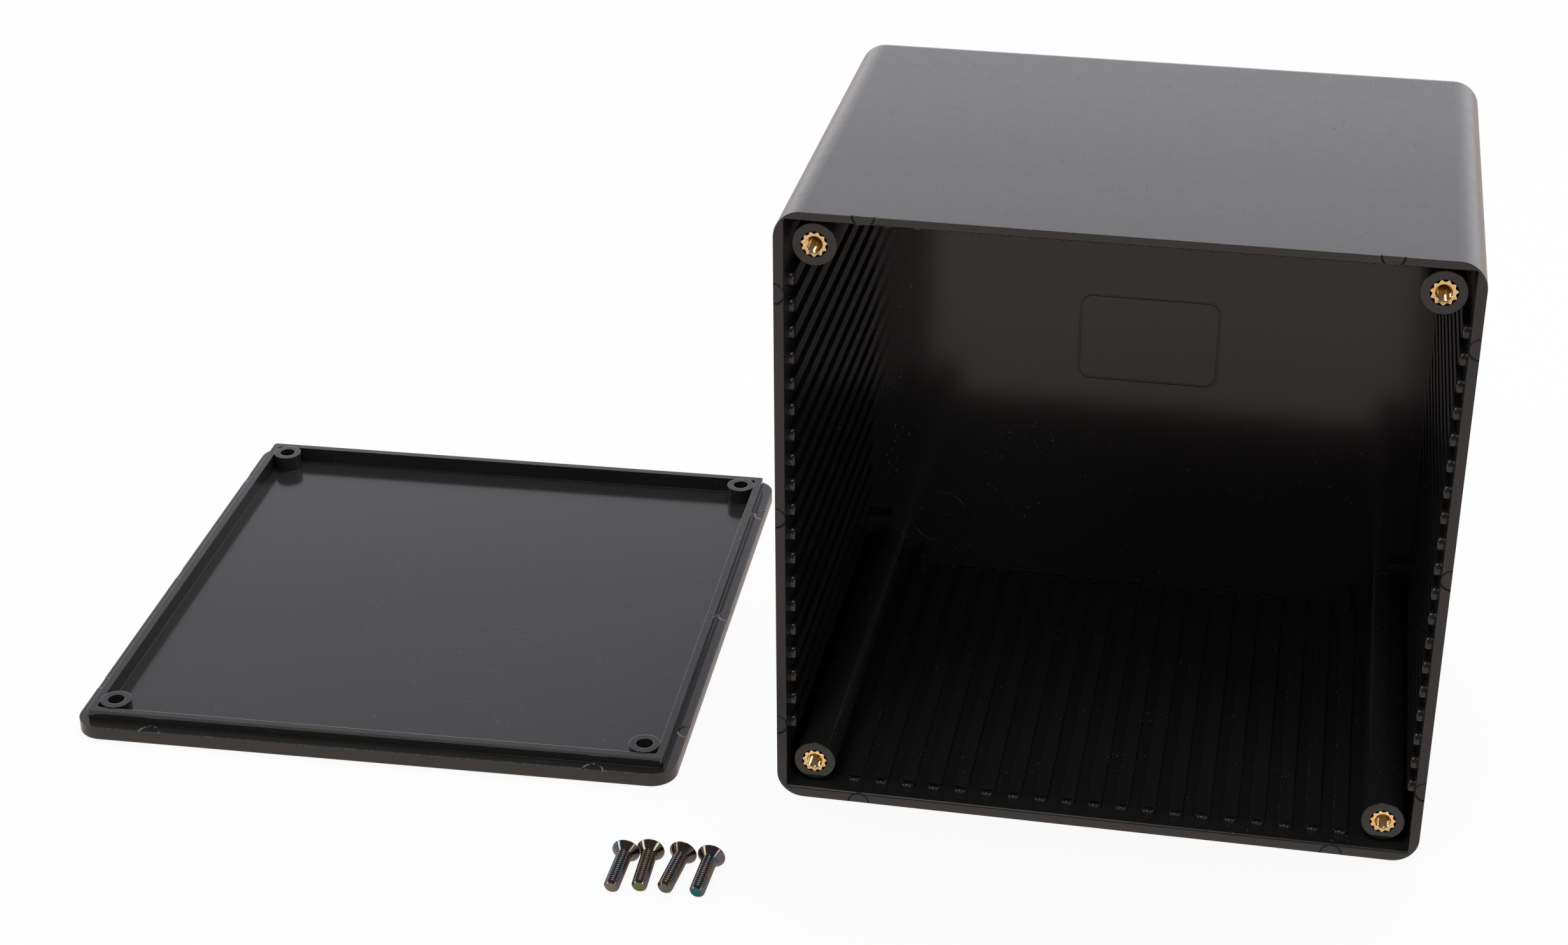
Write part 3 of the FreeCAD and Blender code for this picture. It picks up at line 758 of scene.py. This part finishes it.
def rib_nose(shape):
    """One nose on the lower wall, about the case's middle."""
    radius = (RIB_HALF_WIDTH**2 + RIB_BOW**2) / (2 * RIB_BOW)
    bmesh.ops.create_circle(shape, cap_ends=True, radius=radius, segments=ARC_STEPS)
    front = RIB_END_Y - NOSE_REACH
    bmesh.ops.translate(shape, verts=shape.verts, vec=(0, front + radius, 0))
    bmesh.ops.bisect_plane(
        shape,
        geom=shape.verts[:] + shape.edges[:] + shape.faces[:],
        plane_co=(0, front + RIB_BOW, 0),
        plane_no=(0, 1, 0),
        clear_outer=True,
    )
    chord = [edge for edge in shape.edges if edge.calc_length() > RIB_HALF_WIDTH]
    pulled = bmesh.ops.extrude_edge_only(shape, edges=chord)["geom"]
    back = [item for item in pulled if isinstance(item, bmesh.types.BMVert)]
    bmesh.ops.translate(shape, verts=back, vec=(0, NOSE_REACH, 0))
    raised = bmesh.ops.extrude_face_region(shape, geom=shape.faces[:])["geom"]
    tops = [item for item in raised if isinstance(item, bmesh.types.BMVert)]
    bmesh.ops.translate(shape, verts=tops, vec=(0, 0, NOSE_HEIGHT))
    foot = -RIB_TOPS - NOSE_HEIGHT
    bmesh.ops.translate(shape, verts=shape.verts, vec=(0, 0, foot))
    level = -RIB_TOPS - MERGE
    curved = front + RIB_BOW + MERGE
    rounded = [
        edge
        for edge in shape.edges
        if all(v.co.z > level and v.co.y < curved for v in edge.verts)
        and edge.calc_length() < RIB_HALF_WIDTH
    ]
    bmesh.ops.bevel(
        shape,
        geom=rounded,
        offset=NOSE_ROUNDING,
        affect="EDGES",
        segments=ROUNDING_STEPS,
        profile=0.5,
        material=-1,
    )
    bmesh.ops.recalc_face_normals(shape, faces=shape.faces[:])


def make_rib_noses(material):
    """All the noses of the four walls as one piece."""
    single = bpy.data.meshes.new("single_nose")
    shape = bmesh.new()
    rib_nose(shape)
    shape.to_mesh(single)
    shape.free()
    noses = bmesh.new()
    for turn in WALL_TURNS:
        for number in range(RIB_COUNT):
            before = len(noses.verts)
            noses.from_mesh(single)
            added = noses.verts[before:]
            along = (number - (RIB_COUNT - 1) / 2) * RIB_PITCH
            bmesh.ops.translate(noses, verts=added, vec=(along, 0, 0))
            around = Matrix.Rotation(math.radians(turn), 3, "Y")
            bmesh.ops.rotate(noses, verts=added, cent=ORIGIN, matrix=around)
    bpy.data.meshes.remove(single)
    place = Matrix.Translation(CASE_MIDDLE)
    piece = to_object(noses, "rib_ends", place, material)
    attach(piece, "root")
    return piece


make_rib_noses(case_plastic)

# %% [markdown]
# ## A thread
#
# Screws and inserts both carry an M3 thread, a ridge that climbs 0.5 mm a turn.
# A stack of rings would look alike from the side, but a real thread is one
# ridge. Spin with a step along the axis makes one turn of it: a zigzag of one
# pitch is swept up a helix whose pitch is its own height, so copies of that
# turn, each a pitch higher, meet without a seam. Two planes then cut the ends
# flat.

# %% Threads
THREAD_PITCH = 0.5
STEPS_A_TURN = 48


def threaded_wall(shape, profile, low, high, steps):
    """A helical wall from low to high. The profile is (radius, share of a pitch)."""
    turns = math.ceil((high - low) / THREAD_PITCH) + 2
    start = low - THREAD_PITCH
    points = [
        shape.verts.new((radius, 0, start + share * THREAD_PITCH))
        for radius, share in profile
    ]
    edges = [shape.edges.new(pair) for pair in zip(points, points[1:])]
    bmesh.ops.spin(
        shape,
        geom=points + edges,
        axis=UP,
        cent=ORIGIN,
        dvec=UP * (THREAD_PITCH / steps),
        angle=2 * math.pi,
        steps=steps,
        use_merge=False,
        use_duplicate=False,
    )
    one_turn = shape.verts[:] + shape.edges[:] + shape.faces[:]
    for turn in range(1, turns):
        copied = bmesh.ops.duplicate(shape, geom=one_turn)["geom"]
        verts = [item for item in copied if isinstance(item, bmesh.types.BMVert)]
        bmesh.ops.translate(shape, verts=verts, vec=UP * (turn * THREAD_PITCH))
    bmesh.ops.remove_doubles(shape, verts=shape.verts[:], dist=MERGE)
    for level, upper in ((low, False), (high, True)):
        bmesh.ops.bisect_plane(
            shape,
            geom=shape.verts[:] + shape.edges[:] + shape.faces[:],
            dist=MERGE / 10,
            plane_co=UP * level,
            plane_no=UP,
            clear_outer=upper,
            clear_inner=not upper,
        )


# %% [markdown]
# An open rim is grown into the rest of a turned shape: it is extruded, and its
# new points are put at a radius and a level. A radius that depends on the angle
# gives lobes or a cross.

# %% Rims


def rim_at(shape, level):
    """The open edges at one level."""
    return [
        edge
        for edge in shape.edges
        if edge.is_boundary and all(abs(v.co.z - level) < MERGE for v in edge.verts)
    ]


def grow_rim(shape, rim, radius, level):
    """Extrudes an open rim to another level. The radius may depend on the angle."""
    grown = bmesh.ops.extrude_edge_only(shape, edges=rim)["geom"]
    for vert in [item for item in grown if isinstance(item, bmesh.types.BMVert)]:
        angle = math.atan2(vert.co.y, vert.co.x)
        reach = radius(angle) if callable(radius) else radius
        vert.co = (reach * math.cos(angle), reach * math.sin(angle), level)
    return [
        item
        for item in grown
        if isinstance(item, bmesh.types.BMEdge) and item.is_boundary
    ]


print("an M3 thread climbs", THREAD_PITCH, "mm a turn")

# %% [markdown]
# ## Brass inserts
#
# A threaded insert is turned from brass and pressed into the moulded column, so
# the screw wears metal and not plastic. Seen from its end it is a cog with
# eleven lobes that grip the plastic, and the bore has a chamfered mouth.

# %% Insert sizes
LOBES = 11
LOBE_TIP = 2.4
LOBE_ROOT = 2.02
LOBE_POINT = 1.15
LOBE_STEPS = 110
INSERT_LENGTH = 6.0
BORE_CREST = 1.22
BORE_ROOT = 1.46
MOUTH_DEPTH = 0.3
MOUTH_LEAD = 0.1
# the bore's thread: radius, and height as a share of the pitch
BORE_THREAD = [
    (BORE_CREST, 0.0),
    (BORE_CREST, 0.12),
    (BORE_ROOT, 0.5),
    (BORE_ROOT, 0.62),
    (BORE_CREST, 1.0),
]
# the chamfered mouth: radius, and depth below the face
MOUTH_STEPS = [(1.34, MOUTH_DEPTH), (1.5, 0.12), (1.56, 0.09)]
# face and barrel: how far inside the lobed outline, and depth below the face
FACE_STEPS = [(0.16, 0.02), (0.08, 0.0), (0.02, 0.05), (0.0, 0.14)]

print("an insert has", LOBES, "lobes and is", INSERT_LENGTH, "mm long")

# %% [markdown]
# A Boolean could cut the bore out of a cog, but it leaves slivers along a
# thread. Here the bore is threaded first. Its top rim is then grown outwards,
# loop by loop, up the chamfer, over the face to the lobes, and down the barrel,
# so that the insert is one closed skin.

# %% One insert


def lobe_radius(angle, shrink=0.0):
    """The lobed outline, with one tip downwards."""
    wave = 0.5 + 0.5 * math.cos(LOBES * (angle + math.pi / 2))
    return LOBE_ROOT + (LOBE_TIP - LOBE_ROOT) * wave**LOBE_POINT - shrink


def make_insert(name, node, material):
    """An insert in the place of its CAD node, its face towards -Y."""
    low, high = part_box(node)
    shape = bmesh.new()
    bore_top = INSERT_LENGTH - MOUTH_DEPTH - MOUTH_LEAD
    threaded_wall(shape, BORE_THREAD, 0.0, bore_top, LOBE_STEPS)
    rim = rim_at(shape, bore_top)
    for radius, depth in MOUTH_STEPS:
        rim = grow_rim(shape, rim, radius, INSERT_LENGTH - depth)
    for shrink, depth in FACE_STEPS + [(0.0, INSERT_LENGTH)]:
        outline = partial(lobe_radius, shrink=shrink)
        rim = grow_rim(shape, rim, outline, INSERT_LENGTH - depth)
    bmesh.ops.bridge_loops(shape, edges=rim + bore_rim(shape))
    centre = (low + high) / 2
    inner_end = Vector((centre.x, high.y, centre.z)) / MM
    place = Matrix.Translation(inner_end) @ Matrix.Rotation(math.radians(90), 4, "X")
    insert = to_object(shape, name, place, material)
    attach(insert, "root")
    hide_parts(node)
    return insert


def bore_rim(shape):
    """The thread's lower rim, inside the barrel's."""
    inside = (LOBE_ROOT + BORE_ROOT) / 2
    return [e for e in rim_at(shape, 0.0) if e.verts[0].co.xy.length < inside]


# %% [markdown]
# Brass in a white tent reads as pale gold with orange-brown depths: the metal's
# own colour deepens each time that light bounces between lobes. A low noise
# varies its gloss, because turned brass is a little brushed.

# %% Turned brass
BRUSHED_GRAIN = 0.4
BRASS_TINTS = [(0.3, "#f2c47c"), (0.7, "#ffe6b0")]
BRASS_ROUGHNESS = (0.06, 0.24)

brass, tree = new_material("turned_brass")
place = add_node(tree, "ShaderNodeTexCoord").outputs["Object"]
brushed = add_node(
    tree,
    "ShaderNodeTexNoise",
    {"Vector": place, "Scale": 1 / (BRUSHED_GRAIN * MM), "Detail": 3.0},
).outputs["Fac"]
tint = add_node(tree, "ShaderNodeValToRGB", {"Fac": brushed}, stops=BRASS_TINTS)
glossy, dull = BRASS_ROUGHNESS
gloss = add_node(
    tree,
    "ShaderNodeMapRange",
    {"Value": brushed, "To Min": glossy, "To Max": dull},
)
metal = add_node(
    tree,
    "ShaderNodeBsdfPrincipled",
    {
        "Base Color": tint.outputs["Color"],
        "Metallic": 1.0,
        "Roughness": gloss.outputs["Result"],
    },
)
add_node(tree, "ShaderNodeOutputMaterial", {"Surface": metal.outputs[0]})

for number in range(1, 5):
    make_insert(f"brass_insert_{number}", f"thread_insert_{number}", brass)

# %% [markdown]
# ## Lid screws
#
# The screws are M3 by 10 mm, countersunk, in steel with a black nickel plating
# that shows faint rainbow tints. Their ridges are drawn as half waves, because
# a rolled thread has rounded crests.

# %% Screw sizes and places
SCREW_LENGTH = 10.0
CREST = 1.45
ROOT = 1.16
HEAD = 2.6
HEAD_LAND = 0.25
TIP_CHAMFER = 0.4
RECESS_REACH = 1.45
RECESS_HALF_WIDTH = 0.38
RECESS_DEPTH = 1.3
RECESS_TAPER = 0.55
# the head: radius, and distance below its flat top
HEAD_STEPS = [(HEAD, HEAD_LAND), (HEAD, 0.06), (HEAD - 0.06, 0.0), (1.6, 0.0)]
RIDGE_STEPS = 12
RIDGE_ROUNDNESS = 1.4
TIP_SLOT = 1
# each screw's tip in x and y, and the way that it points, in degrees
SCREW_SPOTS = [
    (-83.1, -81.5, 87.8),
    (-78.2, -80.4, 91.0),
    (-73.6, -80.0, 82.5),
    (-67.6, -80.1, 86.6),
]
print("screws of", SCREW_LENGTH, "mm lie at", SCREW_SPOTS)

# %% [markdown]
# A countersunk screw that lies on a table rests on the rim of its head and on
# the corner of its tip, so its axis is tilted by a few degrees. Both touch the
# table at height 0, which gives the tilt and the height of the tip.

# %% How a screw lies


def lying(x, y, turn):
    """Where a screw lies: on the corner of its tip and on the rim of its head."""
    rise = HEAD - CREST
    run = SCREW_LENGTH - HEAD_LAND - TIP_CHAMFER
    tilt = math.atan2(rise, run)
    level = math.cos(tilt)
    axis = Vector((
        level * math.cos(math.radians(turn)),
        level * math.sin(math.radians(turn)),
        math.sin(tilt),
    ))
    height = CREST * level - TIP_CHAMFER * math.sin(tilt)
    turned_axis = UP.rotation_difference(axis).to_matrix().to_4x4()
    return Matrix.Translation((x, y, height)) @ turned_axis


tilted = lying(*SCREW_SPOTS[0]) @ UP - lying(*SCREW_SPOTS[0]) @ ORIGIN
print("a lying screw rises by", round(math.degrees(math.asin(tilted.z)), 1), "degrees")

# %% [markdown]
# The shank is one threaded wall. Its lower rim is drawn in for the tip's chamfer
# and closed, and its upper rim grows into the cone and the head. The same rim
# goes on inwards as the outline of a cross and down into the recess, so no
# Boolean is needed.

# %% One screw


def screw_body(shape):
    """Thread, tip, cone and head, along Z from the tip."""
    neck = SCREW_LENGTH - HEAD_LAND - (HEAD - CREST)
    shares = [step / RIDGE_STEPS for step in range(RIDGE_STEPS + 1)]
    ridge = [
        (ROOT + (CREST - ROOT) * math.sin(math.pi * share) ** RIDGE_ROUNDNESS, share)
        for share in shares
    ]
    threaded_wall(shape, ridge, 0.0, neck, STEPS_A_TURN)
    for vert in shape.verts:
        widest = CREST - TIP_CHAMFER + vert.co.z
        reach = vert.co.xy.length
        if reach > widest:
            vert.co.xy *= widest / reach
    tip = bmesh.ops.edgenet_fill(shape, edges=rim_at(shape, 0.0))["faces"]
    for face in tip:
        face.material_index = TIP_SLOT
    rim = grow_rim(shape, rim_at(shape, neck), CREST, neck)
    for radius, depth in HEAD_STEPS:
        rim = grow_rim(shape, rim, radius, SCREW_LENGTH - depth)
    for share, depth in ((1.0, 0.0), (RECESS_TAPER, RECESS_DEPTH)):
        outline = partial(cross_radius, share=share)
        rim = grow_rim(shape, rim, outline, SCREW_LENGTH - depth)
    bmesh.ops.edgenet_fill(shape, edges=rim)


def cross_radius(angle, share=1.0):
    """The outline of the cross recess, as a distance from the axis."""
    quarter = math.pi / 2
    from_arm = abs((angle + quarter / 2) % quarter - quarter / 2)
    end_of_arm = RECESS_REACH / math.cos(from_arm)
    side_of_arm = RECESS_HALF_WIDTH / max(math.sin(from_arm), TINY)
    return min(end_of_arm, side_of_arm) * share


def make_screw(number, spot, material, tip_material):
    """One screw in its place, with its tip in a material of its own."""
    shape = bmesh.new()
    screw_body(shape)
    name = f"lid_screw_threaded_{number}"
    screw = to_object(shape, name, lying(*spot), material)
    screw.data.materials.append(tip_material)
    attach(screw, "root")
    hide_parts(f"lid_screw_{number}")
    return screw


# %% [markdown]
# The plating's colour comes from a film so thin that each thickness has its own
# tint. Noise over a few millimetres stands for the film's thickness, and a
# ramp turns it to the tints seen on real screws: olive, straw, violet and steel
# blue over a brown-grey. The cut tips took the film best, so each of them has
# clear tints of its own: grey, green to olive, grey-green and blue to teal.

# %% Black nickel plating
FILM = [
    (0.30, "#766d63"),
    (0.42, "#7b7565"),
    (0.50, "#807470"),
    (0.58, "#747078"),
    (0.66, "#6a7780"),
    (0.74, "#737c69"),
]
TIP_FILMS = [
    [(0.35, "#8a877c"), (0.65, "#7b796f")],
    [(0.42, "#5f8a62"), (0.58, "#808247")],
    [(0.35, "#6e7b72"), (0.65, "#788276")],
    [(0.4, "#336b94"), (0.6, "#377a78")],
]
FILM_GRAIN = 3.0
PLATING_ROUGHNESS = 0.13
SEED_STEP = 3.7


def black_nickel(name, film_stops, seed):
    """Plated steel. The seed shifts the film, so that no two screws match."""
    material, tree = new_material(name)
    place = add_node(tree, "ShaderNodeTexCoord").outputs["Object"]
    film = add_node(
        tree,
        "ShaderNodeTexNoise",
        {"Vector": place, "Scale": 1 / (FILM_GRAIN * MM), "Detail": 1.0, "W": seed},
        noise_dimensions="4D",
    ).outputs["Fac"]
    tint = add_node(tree, "ShaderNodeValToRGB", {"Fac": film}, stops=film_stops)
    metal = add_node(
        tree,
        "ShaderNodeBsdfPrincipled",
        {
            "Base Color": tint.outputs["Color"],
            "Metallic": 1.0,
            "Roughness": PLATING_ROUGHNESS,
        },
    )
    add_node(tree, "ShaderNodeOutputMaterial", {"Surface": metal.outputs[0]})
    return material


for number, (spot, tip_film) in enumerate(zip(SCREW_SPOTS, TIP_FILMS), start=1):
    seed = SEED_STEP * number
    plating = black_nickel(f"black_nickel_plating_{number}", FILM, seed)
    tip = black_nickel(f"tinted_nickel_tip_{number}", tip_film, seed)
    make_screw(number, spot, plating, tip)
